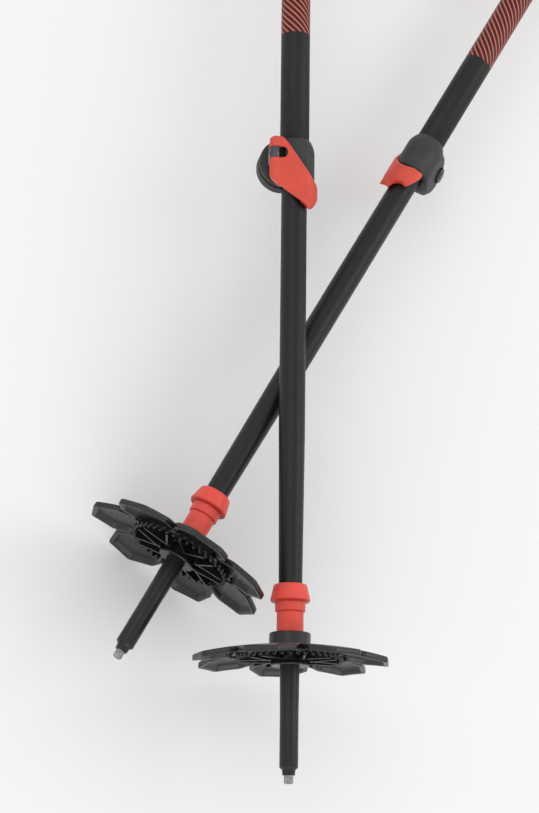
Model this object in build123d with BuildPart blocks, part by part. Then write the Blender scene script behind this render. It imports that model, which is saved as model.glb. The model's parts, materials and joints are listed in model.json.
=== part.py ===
from build123d import *
import os
from math import asin, cos, radians, sin

# A pair of two-section trekking poles, lying crossed on a flat surface. All lengths are millimetres.
# Every piece is modelled once in the frame of a single pole: the pole's axis is +Z, its tip is at
# the origin, -Y is its front and stations are heights above the tip. Both poles are then laid down.

# ---- Tubes and stations along the pole -----------------------------------------------------------
LOWER_R = 7.0               # lower shaft, 14 mm tube
UPPER_R = 8.0               # upper shaft, 16 mm tube
TUBE_WALL = 1.0
SLIDE_GAP = 0.06            # radial running clearance of the telescoping parts
GLUE_GAP = 0.03             # radial gap of the bonded parts
UPPER_BORE_R = LOWER_R + SLIDE_GAP

SHAFT_END_R = 6.15          # lower shaft where it enters the ferrule
SHAFT_END_Z = 94.5
TAPER_TOP_Z = 184.0
LOWER_TOP_Z = 880.0
CLAMP_TOP_Z = 348.5
UPPER_START_Z = CLAMP_TOP_Z - 16.0
UPPER_TOP_Z = 922.0
POLE_LENGTH = 950.0

# ---- Tip and basket ------------------------------------------------------------------------------
CARBIDE_R = 2.4
CARBIDE_LENGTH = 4.4
SHANK_R = 2.0
SHANK_TOP_Z = 20.0
TIP_NECK_R = 3.3
TIP_R = 4.88
SPIGOT_LOW_Z = 8.3          # straight stretch of the tip, which a rubber foot slides on
SPIGOT_TOP_Z = 36.0
TIP_ROOT_R = 5.15
TIP_CORE_TOP_Z = 119.0
FLUTES = 8

BASKET_R = 51.8             # to the corners of the lobes
LOBES = 7
LOBE_CORNER = 9.2           # half the width of a lobe's end, in degrees
LOBE_SHOULDER = (42.0, 22.7)    # where a lobe's flank meets the notch: radius and degrees from the middle
NOTCH_R = 31.0
BASKET_THICK = 3.2
BASKET_SKIN = 1.7
BASKET_LIP = 2.3
BASKET_CROWN_Z = 70.6
BASKET_EDGE_DROP = 6.2      # droop of the dish at BASKET_R
BASKET_HUB_R = 10.9
BASKET_HUB_TOP_Z = 77.9
BASKET_HUB_LOW_Z = 60.6
TOOTH_RING_R = 26.5
TEETH = 42
RIBS = 7                    # each a V of two webs

FERRULE_SLEEVE_R = 7.05
FERRULE_STEP_R = 7.95
FERRULE_COLLAR_R = 10.6
FERRULE_TOP_R = 8.3
FERRULE_STEP_Z = 89.0
FERRULE_COLLAR_Z = 94.0
FERRULE_TOP_Z = 103.4

# ---- Clamp: heights are below CLAMP_TOP_Z, the ears point to -X and the lever lies over the front -
HOUSING_R = 11.0
HOUSING_DROP = 24.2
SHOULDER_DROP = 9.0
HOUSING_FRONT = 9.6         # flat of the housing under the lever
EAR_R = 13.4
EAR_X = -6.5
EAR_DROP = 13.7
EAR_BACK = 11.0
EAR_CHAMFER = 2.4
CAM_FLOOR = 4.5             # the front ear is recessed to this depth under the cam
PLATE_THICK = 0.7
SLIT = 2.6
PIVOT_X = -12.0
PIVOT_Y = -8.5
BOLT_DROP = 9.9
BOLT_R = 2.0
PIN_R = 1.5
HINGE_GAP = 0.05
CAM_R = 3.2
LEVER_IN = 11.2             # inside of the lever where it curves round the housing
LEVER_OUT = 12.7
LEVER_WRAP = 136.0          # how far the lever reaches round from the front, in degrees
LEVER_VIEW = -10.0          # the lever's outline is square to this direction, in degrees from front
LEVER_TOP_DROP = 0.9
HOOK_TOP_DROP = 25.0
HOOK_TAPER_DROP = 33.5
HOOK_LOW_DROP = 41.2
HOOK_LOW_R = 8.6
HOOK_IN = 7.7
HOOK_START = 14.0           # the hook's inner part begins here, in degrees from the front
HOOK_ARCH_ANGLE = 92.0      # arch in the hook's lower edge
HOOK_ARCH_DROP = 41.0
HOOK_ARCH_R = 5.5
NUT_R = 4.4
NUT_START = 8.2
NUT_END = 12.2

# ---- Grip ----------------------------------------------------------------------------------------
EXTENSION_LOW_Z = 636.0
EXTENSION_R = 14.0
GRIP_LOW_Z = 822.0
GRIP_HEAD_Z = 932.0         # station where the head is widest and the pole rests on it
GRIP_HEAD_WIDTH = 18.5
GRIP_TOP_Z = 946.0
SLOT_Z = 935.0
STRAP_WIDTH = 22.0
STRAP_THICK = 2.2

# ---- How the poles lie ---------------------------------------------------------------------------
LEFT_TIP = (-88.7, 60.9)    # left pole's tip on the floor plan, the right pole's tip being (0, 0)
LEFT_YAW = 30.06            # degrees from the right pole's direction
CROSSING_GAP = 0.05
CLAMP_ROLL = {"right": -10.3, "left": -119.0}
BASKET_ROLL = {"right": 14.3, "left": -2.5}


def around(angle, radius, height=0.0):
    """Point at an angle counted from the front (-Y) towards +X."""
    return (radius * sin(radians(angle)), -radius * cos(radians(angle)), height)


def drop(height):
    """Station of a height that is given below the top of the clamp."""
    return CLAMP_TOP_Z - height


def turned(*outline):
    """Round piece: a closed outline of (radius, station) points revolved about the pole's axis."""
    with BuildPart() as piece:
        with BuildSketch(Plane.XZ):
            with BuildLine():
                Polyline(*outline, close=True)
            make_face()
        revolve(axis=Axis.Z)
    return piece.part


# ---- Lower section -------------------------------------------------------------------------------
def make_carbide_tip():
    """Fluted carbide point with its shank."""
    flute_r = 0.75
    with BuildPart() as tip:
        with BuildSketch(Plane.XZ):
            with BuildLine():
                Polyline(
                    (0, 1.0), (1.2, 1.0), (1.7, 0), (CARBIDE_R, 0.5), (CARBIDE_R, CARBIDE_LENGTH),
                    (SHANK_R, CARBIDE_LENGTH), (SHANK_R, SHANK_TOP_Z), (0, SHANK_TOP_Z), close=True,
                )
            make_face()
        revolve(axis=Axis.Z)
        with BuildSketch(Plane.XY):
            with PolarLocations(CARBIDE_R + 0.25, FLUTES):
                Circle(flute_r)
        extrude(amount=CARBIDE_LENGTH - 0.8, mode=Mode.SUBTRACT)
    return tip.part


def make_tip_section():
    """Flexible plastic tip that carries the carbide and runs up through the basket and ferrule."""
    bore_r = SHANK_R + GLUE_GAP
    return turned(
        (bore_r, CARBIDE_LENGTH), (TIP_NECK_R, CARBIDE_LENGTH), (TIP_NECK_R + 0.2, 7.0),
        (TIP_R, SPIGOT_LOW_Z), (TIP_R, SPIGOT_TOP_Z), (TIP_ROOT_R, BASKET_HUB_LOW_Z - 1.5),
        (TIP_ROOT_R, TIP_CORE_TOP_Z), (0, TIP_CORE_TOP_Z),
        (0, SHANK_TOP_Z + 0.5), (bore_r, SHANK_TOP_Z + 0.5),
    )


def basket_outline():
    """Corners of the basket, seen along the pole: blunt lobes parted by deep V notches."""
    half_lobe = [(BASKET_R, LOBE_CORNER), LOBE_SHOULDER, (NOTCH_R, 180.0 / LOBES)]
    corners = []
    for lobe in range(LOBES):
        centre = lobe * 360.0 / LOBES
        corners += [around(centre - angle, radius)[:2] for radius, angle in reversed(half_lobe[:2])]
        corners += [around(centre + angle, radius)[:2] for radius, angle in half_lobe]
    return corners


def dish_arc(start_r, depth):
    """Three points on the drooping dish, from a start radius to beyond the lobes, under its top."""
    radii = (start_r, 34.0, BASKET_R + 2.0)
    return [
        (radius, BASKET_CROWN_Z - BASKET_EDGE_DROP * (radius / BASKET_R) ** 2 - depth)
        for radius in radii
    ]


def make_basket():
    """Snow basket: a drooping disc of lobes with a lip, a toothed ring, webs and a hub."""
    bore_r = TIP_ROOT_R + GLUE_GAP
    below = BASKET_HUB_LOW_Z - 6.0
    web_length = 16.5
    top = dish_arc(bore_r, 0.0)
    underside = dish_arc(bore_r, BASKET_THICK)
    ceiling = dish_arc(BASKET_HUB_R, BASKET_SKIN)

    with BuildPart() as pocket:
        with BuildSketch(Plane.XZ):
            with BuildLine():
                ThreePointArc(*ceiling)
                Polyline(ceiling[2], (BASKET_R + 2.0, below), (BASKET_HUB_R, below), ceiling[0])
            make_face()
        revolve(axis=Axis.Z)
        with BuildSketch(Plane.XY.offset(below)):
            Polygon(*basket_outline(), align=None)
            offset(amount=-BASKET_LIP)
        extrude(amount=30.0, mode=Mode.INTERSECT)

    with BuildPart() as basket:
        with BuildSketch(Plane.XZ):
            with BuildLine():
                ThreePointArc(*top)
                Line(top[2], underside[2])
                ThreePointArc(*underside)
                Line(underside[0], top[0])
            make_face()
        revolve(axis=Axis.Z)
        with BuildSketch(Plane.XY.offset(below)):
            Polygon(*basket_outline(), align=None)
            fillet(vertices(), 1.4)
        extrude(amount=30.0, mode=Mode.INTERSECT)
        add(pocket.part, mode=Mode.SUBTRACT)

        # Toothed ring under the dish.
        with BuildSketch(Plane.XY.offset(BASKET_HUB_LOW_Z + 2.6)):
            Circle(TOOTH_RING_R + 1.5)
            Circle(TOOTH_RING_R, mode=Mode.SUBTRACT)
            with PolarLocations(TOOTH_RING_R - 0.4, TEETH):
                RegularPolygon(radius=1.9, side_count=3)
        extrude(amount=5.4)

        # V-shaped webs from the hub to the ring.
        with BuildSketch(Plane.XY.offset(BASKET_HUB_LOW_Z + 2.0)):
            for rib in range(RIBS):
                for lean in (-24.0, 24.0):
                    angle = rib * 360.0 / RIBS + 0.45 * lean
                    with Locations(Location(around(angle, 18.0), angle - 90.0 + 0.9 * lean)):
                        Rectangle(web_length, 1.1)
        extrude(amount=6.6)

        # Hub with its upper collar and the foot ring.
        with BuildSketch(Plane.XZ):
            with BuildLine():
                Polyline(
                    (bore_r, BASKET_HUB_LOW_Z), (BASKET_HUB_R, BASKET_HUB_LOW_Z),
                    (BASKET_HUB_R, BASKET_HUB_LOW_Z + 1.6), (9.2, BASKET_HUB_LOW_Z + 2.2),
                    (9.2, BASKET_CROWN_Z - 3.0), (BASKET_HUB_R, BASKET_CROWN_Z - 1.0),
                    (BASKET_HUB_R, BASKET_HUB_TOP_Z - 0.7), (BASKET_HUB_R - 0.7, BASKET_HUB_TOP_Z),
                    (bore_r, BASKET_HUB_TOP_Z), close=True,
                )
            make_face()
        revolve(axis=Axis.Z)

        with BuildSketch(Plane.XY.offset(below)):
            Circle(bore_r)
        extrude(amount=30.0, mode=Mode.SUBTRACT)
    return basket.part


def make_ferrule():
    """Coloured ferrule: sleeve over the tip section, step, and a conical collar over the shaft."""
    shaft_socket_r = SHAFT_END_R + 0.15
    return turned(
        (TIP_ROOT_R + GLUE_GAP, BASKET_HUB_TOP_Z), (FERRULE_SLEEVE_R, BASKET_HUB_TOP_Z),
        (FERRULE_SLEEVE_R, FERRULE_STEP_Z - 0.3), (FERRULE_STEP_R, FERRULE_STEP_Z),
        (FERRULE_STEP_R, FERRULE_COLLAR_Z), (FERRULE_COLLAR_R - 0.9, FERRULE_COLLAR_Z),
        (FERRULE_COLLAR_R, FERRULE_COLLAR_Z + 1.0), (FERRULE_TOP_R + 0.5, FERRULE_TOP_Z - 0.6),
        (FERRULE_TOP_R, FERRULE_TOP_Z), (shaft_socket_r, FERRULE_TOP_Z),
        (shaft_socket_r, SHAFT_END_Z - 0.3), (TIP_ROOT_R + GLUE_GAP, SHAFT_END_Z - 0.3),
    )


def make_lower_shaft():
    """Tube, tapered down to the ferrule."""
    end_bore_r = TIP_ROOT_R + GLUE_GAP
    return turned(
        (SHAFT_END_R, SHAFT_END_Z), (LOWER_R, TAPER_TOP_Z), (LOWER_R, LOWER_TOP_Z),
        (LOWER_R - TUBE_WALL, LOWER_TOP_Z), (LOWER_R - TUBE_WALL, TAPER_TOP_Z),
        (end_bore_r, TIP_CORE_TOP_Z), (end_bore_r, SHAFT_END_Z),
    )


SPOOL_R = 4.6
SPOOL_LOW_Z = LOWER_TOP_Z + 1.0
SPOOL_TOP_Z = LOWER_TOP_Z + 11.0


def make_shaft_plug():
    """Plug in the shaft's upper end, with a spool for the guide ring."""
    core_r = LOWER_R - TUBE_WALL - GLUE_GAP
    return turned(
        (0, LOWER_TOP_Z - 12.0), (core_r, LOWER_TOP_Z - 12.0), (core_r, LOWER_TOP_Z),
        (LOWER_R - 0.1, LOWER_TOP_Z), (LOWER_R - 0.1, SPOOL_LOW_Z), (SPOOL_R, SPOOL_LOW_Z),
        (SPOOL_R, SPOOL_TOP_Z), (LOWER_R - 0.5, SPOOL_TOP_Z), (LOWER_R - 1.5, SPOOL_TOP_Z + 3.0),
        (0, SPOOL_TOP_Z + 3.0),
    )


def make_guide_ring():
    """Split nylon ring on the plug: it turns on the plug and slides in the upper shaft."""
    with BuildPart() as ring:
        with BuildSketch(Plane.XY.offset(SPOOL_LOW_Z + 0.2)):
            Circle(UPPER_BORE_R - 0.03)
            Circle(SPOOL_R + HINGE_GAP, mode=Mode.SUBTRACT)
            with Locations((LOWER_R, 0)):
                Rectangle(2 * LOWER_R, 1.2, mode=Mode.SUBTRACT)
        extrude(amount=SPOOL_TOP_Z - SPOOL_LOW_Z - 0.4)
    return ring.part


# ---- Upper section -------------------------------------------------------------------------------
def make_upper_shaft():
    """Plain tube from the clamp up into the grip."""
    return turned(
        (UPPER_BORE_R, UPPER_START_Z), (UPPER_R, UPPER_START_Z),
        (UPPER_R, UPPER_TOP_Z), (UPPER_BORE_R, UPPER_TOP_Z),
    )


def make_clamp_housing():
    """Split clamp: a round body with a rounded shoulder and two thick round ears at -X."""
    seat_r = UPPER_R + GLUE_GAP
    with BuildPart() as ears:
        with BuildSketch(Plane.XZ.offset(HOUSING_FRONT)):
            with Locations((EAR_X, drop(EAR_DROP))):
                Circle(EAR_R)
        extrude(amount=-(HOUSING_FRONT + EAR_BACK))
        chamfer(ears.edges().filter_by(GeomType.CIRCLE), EAR_CHAMFER)
        split(bisect_by=Plane.YZ, keep=Keep.BOTTOM)

    with BuildPart() as housing:
        with BuildSketch(Plane.XZ):
            with BuildLine():
                Line((0, drop(HOUSING_DROP)), (HOUSING_R - 0.5, drop(HOUSING_DROP)))
                Line((HOUSING_R - 0.5, drop(HOUSING_DROP)), (HOUSING_R, drop(HOUSING_DROP - 0.5)))
                Line((HOUSING_R, drop(HOUSING_DROP - 0.5)), (HOUSING_R, drop(SHOULDER_DROP)))
                ThreePointArc(
                    (HOUSING_R, drop(SHOULDER_DROP)), (HOUSING_R - 0.65, drop(SHOULDER_DROP - 5.2)),
                    (UPPER_R + 0.45, CLAMP_TOP_Z),
                )
                Line((UPPER_R + 0.45, CLAMP_TOP_Z), (0, CLAMP_TOP_Z))
                Line((0, CLAMP_TOP_Z), (0, drop(HOUSING_DROP)))
            make_face()
        revolve(axis=Axis.Z)
        add(ears.part)

        # Flat that the lever lies on.
        with BuildSketch(Plane.XZ.offset(HOUSING_FRONT)):
            with Locations((0, drop(HOUSING_DROP / 2))):
                Rectangle(60.0, 60.0)
        extrude(amount=10.0, mode=Mode.SUBTRACT)

        # Bore for the lower shaft and the seat of the upper shaft.
        with BuildSketch(Plane.XY.offset(drop(40.0))):
            Circle(UPPER_BORE_R)
        extrude(amount=45.0, mode=Mode.SUBTRACT)
        with BuildSketch(Plane.XY.offset(UPPER_START_Z)):
            Circle(seat_r)
        extrude(amount=20.0, mode=Mode.SUBTRACT)

        # Slit between the ears.
        with BuildSketch(Plane.XY.offset(drop(40.0))):
            with Locations((-15.0, 0)):
                Rectangle(20.0, SLIT)
        extrude(amount=37.0, mode=Mode.SUBTRACT)

        # The front ear is recessed under the cam, and both ears are drilled for the bolt.
        with BuildSketch(Plane.XZ.offset(CAM_FLOOR)):
            with Locations((PIVOT_X - 5.0, drop(16.0))):
                Rectangle(20.8, 40.0)
        extrude(amount=10.0, mode=Mode.SUBTRACT)
        with BuildSketch(Plane.XZ.offset(HOUSING_FRONT)):
            with Locations((PIVOT_X, drop(BOLT_DROP))):
                Circle(BOLT_R + 0.1)
        extrude(amount=-30.0, mode=Mode.SUBTRACT)
        with BuildSketch(Plane.XZ.offset(-(NUT_START - 0.2))):
            with Locations((PIVOT_X, drop(BOLT_DROP))):
                Circle(NUT_R + 0.3)
        extrude(amount=-10.0, mode=Mode.SUBTRACT)
    return housing.part


def make_clamp_plate():
    """Steel plate that the cam runs on."""
    with BuildPart() as plate:
        with BuildSketch(Plane.XZ.offset(CAM_FLOOR)):
            with Locations((PIVOT_X, drop(BOLT_DROP))):
                RectangleRounded(6.4, 14.0, 1.5)
                Circle(BOLT_R + 0.1, mode=Mode.SUBTRACT)
        extrude(amount=PLATE_THICK)
    return plate.part


def make_clamp_bolt():
    """Eye bolt: its eye holds the pivot pin, its shank crosses both ears."""
    eye_half, eye_r = 2.9, 2.7
    with BuildPart() as bolt:
        with BuildSketch(Plane.XY.offset(drop(BOLT_DROP + eye_half))):
            with Locations((PIVOT_X, PIVOT_Y)):
                Circle(eye_r)
        extrude(amount=2 * eye_half)
        with BuildSketch(Plane.XZ.offset(-PIVOT_Y)):
            with Locations((PIVOT_X, drop(BOLT_DROP))):
                Circle(BOLT_R)
        extrude(amount=-(NUT_END + 0.4 - PIVOT_Y))
        with BuildSketch(Plane.XY.offset(drop(BOLT_DROP + 6.0))):
            with Locations((PIVOT_X, PIVOT_Y)):
                Circle(PIN_R)
        extrude(amount=12.0, mode=Mode.SUBTRACT)
    return bolt.part


PIN_TOP_DROP = 3.0
PIN_LOW_DROP = 17.5


def make_clamp_pin():
    """Cross pin through the bolt's eye and both prongs of the lever."""
    with BuildPart() as pin:
        with BuildSketch(Plane.XY.offset(drop(PIN_LOW_DROP))):
            with Locations((PIVOT_X, PIVOT_Y)):
                Circle(PIN_R)
        extrude(amount=PIN_LOW_DROP - PIN_TOP_DROP)
    return pin.part


def facing(angle, height):
    """Plane square to a direction round the pole, its X axis leading towards larger angles."""
    return Plane(origin=(0, 0, height), x_dir=around(angle + 90.0, 1.0), z_dir=around(angle, 1.0))


def make_clamp_lever():
    """Cam lever: forked at the pivot, flat over the front, hooked round the shaft below the body."""
    plate_in = HOUSING_FRONT + 0.15
    plate_out = plate_in + LEVER_OUT - LEVER_IN
    plate_end_x = 5.5
    slot_half = 3.1
    hook_section = Plane(
        origin=(0, 0, 0), x_dir=around(HOOK_START, 1.0), z_dir=around(HOOK_START - 90.0, 1.0)
    )
    with BuildPart() as lever:
        # Curved part with the hook, and the plate over the front.
        with BuildSketch(hook_section):
            with BuildLine():
                Polyline(
                    (HOOK_IN, drop(HOOK_LOW_DROP)), (HOOK_LOW_R, drop(HOOK_LOW_DROP)),
                    (LEVER_OUT, drop(HOOK_TAPER_DROP)), (LEVER_OUT, drop(LEVER_TOP_DROP)),
                    (LEVER_IN, drop(LEVER_TOP_DROP)), (LEVER_IN, drop(HOOK_TOP_DROP)),
                    (HOOK_IN, drop(HOOK_TOP_DROP)), close=True,
                )
            make_face()
        revolve(axis=Axis.Z, revolution_arc=LEVER_WRAP - HOOK_START)
        with BuildSketch(Plane.XY.offset(drop(HOOK_LOW_DROP))):
            with Locations(((PIVOT_X + plate_end_x) / 2, -(plate_in + plate_out) / 2)):
                Rectangle(plate_end_x - PIVOT_X, plate_out - plate_in)
        extrude(amount=HOOK_LOW_DROP - LEVER_TOP_DROP)
        with BuildSketch(Plane.XZ.offset(plate_out)):
            with Locations((0, drop(20.0))):
                Rectangle(60.0, 60.0)
        extrude(amount=10.0, mode=Mode.SUBTRACT)
        with BuildSketch(Plane.XY.offset(drop(HOOK_LOW_DROP))):
            with Locations((PIVOT_X, PIVOT_Y)):
                Circle(CAM_R)
        extrude(amount=HOOK_LOW_DROP - LEVER_TOP_DROP)

        # Outline seen from the front: rounded prong, straight upper edge, blunt lower end.
        with BuildSketch(facing(LEVER_VIEW, CLAMP_TOP_Z).offset(-30.0)):
            with BuildLine():
                Polyline(
                    (-15.6, -5.5), (-13.8, -1.9), (-10.5, -0.9), (-6.0, -1.2), (-3.0, -4.6),
                    (10.8, -24.5), (14.5, -28.5), (14.5, -43.0), (9.0, -43.0), (7.4, -39.3),
                    (0.0, -34.6), (-6.2, -30.2), (-12.6, -24.5), (-15.6, -18.5), close=True,
                )
            make_face()
            fillet(vertices(), 0.9)
            with Locations((-14.0, -BOLT_DROP)):
                SlotOverall(21.0, 2 * slot_half, mode=Mode.SUBTRACT)
        extrude(amount=60.0, mode=Mode.INTERSECT)

        # The hook starts below the body, is arched over the shaft and ends in a slanted face.
        with BuildSketch(Plane.XY.offset(drop(HOOK_TOP_DROP))):
            with Locations((10.0, 16.0)):
                Rectangle(40.0, 40.0)
        extrude(amount=30.0, mode=Mode.SUBTRACT)
        with BuildSketch(facing(HOOK_ARCH_ANGLE, drop(HOOK_ARCH_DROP))):
            Circle(HOOK_ARCH_R)
        extrude(amount=25.0, mode=Mode.SUBTRACT)
        with BuildSketch(facing(LEVER_WRAP - 10.0, drop(HOOK_TOP_DROP))):
            with BuildLine():
                Polyline((-9.0, -18.0), (-1.6, -10.8), (3.0, -2.0), (9.0, -2.0), (9.0, -18.0), close=True)
            make_face()
        extrude(amount=25.0, mode=Mode.SUBTRACT)

        # Hole of the pivot pin.
        with BuildSketch(Plane.XY.offset(drop(PIN_LOW_DROP + 0.3))):
            with Locations((PIVOT_X, PIVOT_Y)):
                Circle(PIN_R + HINGE_GAP)
        extrude(amount=PIN_LOW_DROP + 1.0, mode=Mode.SUBTRACT)
    return lever.part


def make_clamp_nut():
    """Thumb nut on the bolt's end, in the recess of the rear ear."""
    with BuildPart() as nut:
        with BuildSketch(Plane.XZ.offset(-NUT_START)):
            with Locations((PIVOT_X, drop(BOLT_DROP))):
                Circle(NUT_R)
                Circle(BOLT_R + HINGE_GAP, mode=Mode.SUBTRACT)
                with PolarLocations(NUT_R + 0.25, 16):
                    Circle(0.5, mode=Mode.SUBTRACT)
        extrude(amount=-(NUT_END - NUT_START))
    return nut.part


# ---- Handle. The strap leaves the grip towards +X ------------------------------------------------
def make_extension_collar():
    """Collar that closes the lower end of the foam."""
    inner = UPPER_R + GLUE_GAP
    return turned(
        (inner, EXTENSION_LOW_Z - 6.0), (inner + 1.2, EXTENSION_LOW_Z - 6.0),
        (EXTENSION_R - 1.2, EXTENSION_LOW_Z - 1.5), (EXTENSION_R - 1.2, EXTENSION_LOW_Z),
        (inner, EXTENSION_LOW_Z),
    )


def make_grip_extension():
    """Foam sleeve below the grip."""
    inner = UPPER_R + GLUE_GAP
    return turned(
        (inner, EXTENSION_LOW_Z), (EXTENSION_R - 0.9, EXTENSION_LOW_Z),
        (EXTENSION_R, EXTENSION_LOW_Z + 2.0), (EXTENSION_R, GRIP_LOW_Z), (inner, GRIP_LOW_Z),
    )


GRIP_SECTIONS = [           # station, half width, half depth, offset to the rear
    (GRIP_LOW_Z, 14.6, 15.2, 0.0), (838.0, 13.6, 15.6, 0.6), (868.0, 14.8, 17.8, 1.0),
    (896.0, 14.2, 16.6, 0.6), (916.0, 16.2, 19.0, 1.5), (GRIP_HEAD_Z, GRIP_HEAD_WIDTH, 23.0, 4.0),
    (GRIP_TOP_Z, 16.5, 21.0, 5.0),
]
STRAP_SLOT_HEIGHT = 11.0


def make_grip():
    """Rubber grip: waisted for the fingers, with a wide head that is slotted for the strap."""
    with BuildPart() as grip:
        for station, half_width, half_depth, rear in GRIP_SECTIONS:
            with BuildSketch(Plane.XY.offset(station)):
                with Locations((rear, 0)):
                    Ellipse(half_depth, half_width)
        loft()
        with BuildSketch(Plane.XY.offset(GRIP_LOW_Z)):
            Circle(UPPER_R + GLUE_GAP)
        extrude(amount=UPPER_TOP_Z + 0.5 - GRIP_LOW_Z, mode=Mode.SUBTRACT)
        with BuildSketch(Plane.YZ.offset(-7.0)):
            with Locations((0, SLOT_Z)):
                Rectangle(STRAP_WIDTH + 5.0, STRAP_SLOT_HEIGHT)
        extrude(amount=60.0, mode=Mode.SUBTRACT)
        with BuildSketch(Plane.XZ.offset(-25.0)):
            with Locations((0, SLOT_Z)):
                Circle(2.0)
        extrude(amount=50.0, mode=Mode.SUBTRACT)
    return grip.part


def make_grip_cap():
    """Hard cap on the head."""
    with BuildPart() as cap:
        for station, shrink in ((GRIP_TOP_Z, 1.5), (GRIP_TOP_Z + 2.2, 2.2), (POLE_LENGTH, 6.5)):
            with BuildSketch(Plane.XY.offset(station)):
                with Locations((5.0, 0)):
                    Ellipse(21.0 - shrink, 16.5 - shrink)
        loft()
    return cap.part


def make_strap_pin():
    """Steel pin across the slot, which the strap loops round."""
    with BuildPart() as pin:
        with BuildSketch(Plane.XZ.offset(-15.0)):
            with Locations((0, SLOT_Z)):
                Circle(2.0)
        extrude(amount=30.0)
    return pin.part


def make_strap_wedge():
    """Wedge that locks the strap in the slot."""
    with BuildPart() as wedge:
        with BuildSketch(Plane.XZ.offset(-10.5)):
            with BuildLine():
                Polyline(
                    (4.0, SLOT_Z + 3.5), (24.0, SLOT_Z + 3.5), (26.5, SLOT_Z + 4.0),
                    (26.5, SLOT_Z + 5.4), (4.0, SLOT_Z + 5.4), close=True,
                )
            make_face()
        extrude(amount=21.0)
    return wedge.part


STRAP_STEM = STRAP_THICK + 0.15
STRAP_CORNERS = [           # outer side of the strap: out of the slot, round the hand loop and back
    (3.4, STRAP_STEM), (56.0, STRAP_STEM), (93.0, -44.0), (95.0, -135.0), (70.0, -187.0),
    (41.0, -161.0), (34.0, -STRAP_STEM), (3.4, -STRAP_STEM),
]
STRAP_RADII = [34.0, 60.0, 50.0, 17.0, 30.0, 4.0]


def make_wrist_strap(plane):
    """Webbing loop standing on its edge, on a plane through the slot."""
    with BuildPart() as strap:
        with BuildSketch(plane.offset(-STRAP_WIDTH / 2)) as outline:
            with BuildLine():
                FilletPolyline(*STRAP_CORNERS, radius=STRAP_RADII)
                Line(STRAP_CORNERS[-1], STRAP_CORNERS[0])
            make_face()
            offset(outline.sketch_local, amount=-STRAP_THICK, mode=Mode.SUBTRACT)
        extrude(amount=STRAP_WIDTH)
    return strap.part


# ---- Laying the poles down -----------------------------------------------------------------------
BASKET_REST_Z = BASKET_CROWN_Z - BASKET_EDGE_DROP - BASKET_THICK    # the corner it stands on
BASKET_REST_R = BASKET_R * cos(radians(180.0 / LOBES - LOBE_CORNER + BASKET_ROLL["left"]))
REST_SPAN = GRIP_HEAD_Z - BASKET_REST_Z


def pole_frame(tip, direction):
    """Plane of a lying pole: +Z along the pole, -Y the side that faces up."""
    upward = Vector(0, 0, 1)
    across = direction.cross(upward).normalized()
    return Plane(origin=tip, x_dir=across, z_dir=direction)


def lay_left():
    """The left pole stands on its basket's rim and its grip."""
    tilt = asin((BASKET_REST_R - GRIP_HEAD_WIDTH) / REST_SPAN)
    yaw = radians(LEFT_YAW)
    direction = Vector(cos(tilt) * sin(yaw), cos(tilt) * cos(yaw), -sin(tilt))
    tip_height = BASKET_REST_R * cos(tilt) + BASKET_REST_Z * sin(tilt)
    return pole_frame(Vector(LEFT_TIP[0], LEFT_TIP[1], tip_height), direction)


def lay_right(left):
    """The right pole lies over the left one's shaft and on its own grip."""
    along_left = -left.origin.X / left.z_dir.X
    crossing = left.origin + left.z_dir * along_left
    height = crossing.Z + 2 * LOWER_R / cos(asin(-left.z_dir.Z)) + CROSSING_GAP
    tilt = 0.0
    for _ in range(12):
        station = crossing.Y / cos(tilt)
        tilt = asin((height - GRIP_HEAD_WIDTH * cos(tilt)) / (GRIP_HEAD_Z - station))
    direction = Vector(0, cos(tilt), -sin(tilt))
    return pole_frame(Vector(0, 0, height + crossing.Y / cos(tilt) * sin(tilt)), direction)


def rolled(frame, angle):
    """Location of a pole's frame, turned about the pole by an angle from the front towards +X."""
    return Location(frame) * Location((0, 0, 0), (0, 0, angle))


STRAP_LEAN = 0.062          # drop of the strap per unit of reach, down to the floor


def strap_plane(frame, side):
    """Near-level plane of a strap: +X leads away from the other pole, +Y towards the grip's top."""
    sign = 1.0 if side == "left" else -1.0
    outward = Vector(frame.x_dir.X * sign, frame.x_dir.Y * sign, -STRAP_LEAN)
    along = Vector(frame.z_dir.X, frame.z_dir.Y, 0)
    return Plane(
        origin=frame.origin + frame.z_dir * SLOT_Z, x_dir=outward, z_dir=outward.cross(along)
    )


LOWER_PIECES = {
    "carbide_tip": make_carbide_tip(),
    "tip_section": make_tip_section(),
    "ferrule": make_ferrule(),
    "lower_shaft": make_lower_shaft(),
    "shaft_plug": make_shaft_plug(),
    "guide_ring": make_guide_ring(),
}
CLAMP_PIECES = {
    "upper_shaft": make_upper_shaft(),
    "clamp_housing": make_clamp_housing(),
    "clamp_plate": make_clamp_plate(),
    "clamp_bolt": make_clamp_bolt(),
    "clamp_pin": make_clamp_pin(),
    "clamp_lever": make_clamp_lever(),
    "clamp_nut": make_clamp_nut(),
}
HANDLE_PIECES = {
    "extension_collar": make_extension_collar(),
    "grip_extension": make_grip_extension(),
    "grip": make_grip(),
    "grip_cap": make_grip_cap(),
    "strap_pin": make_strap_pin(),
    "strap_wedge": make_strap_wedge(),
}
BASKET = make_basket()

LEFT = lay_left()
FRAMES = {"left": LEFT, "right": lay_right(LEFT)}
STRAP_SIDE = {"left": 0.0, "right": 180.0}

placed = {}
for side, frame in FRAMES.items():
    for name, piece in LOWER_PIECES.items():
        placed[f"{side}_{name}"] = piece.moved(rolled(frame, 0.0))
    placed[f"{side}_basket"] = BASKET.moved(rolled(frame, BASKET_ROLL[side]))
    for name, piece in CLAMP_PIECES.items():
        placed[f"{side}_{name}"] = piece.moved(rolled(frame, CLAMP_ROLL[side]))
    for name, piece in HANDLE_PIECES.items():
        placed[f"{side}_{name}"] = piece.moved(rolled(frame, STRAP_SIDE[side]))
    placed[f"{side}_wrist_strap"] = make_wrist_strap(strap_plane(frame, side))

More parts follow.
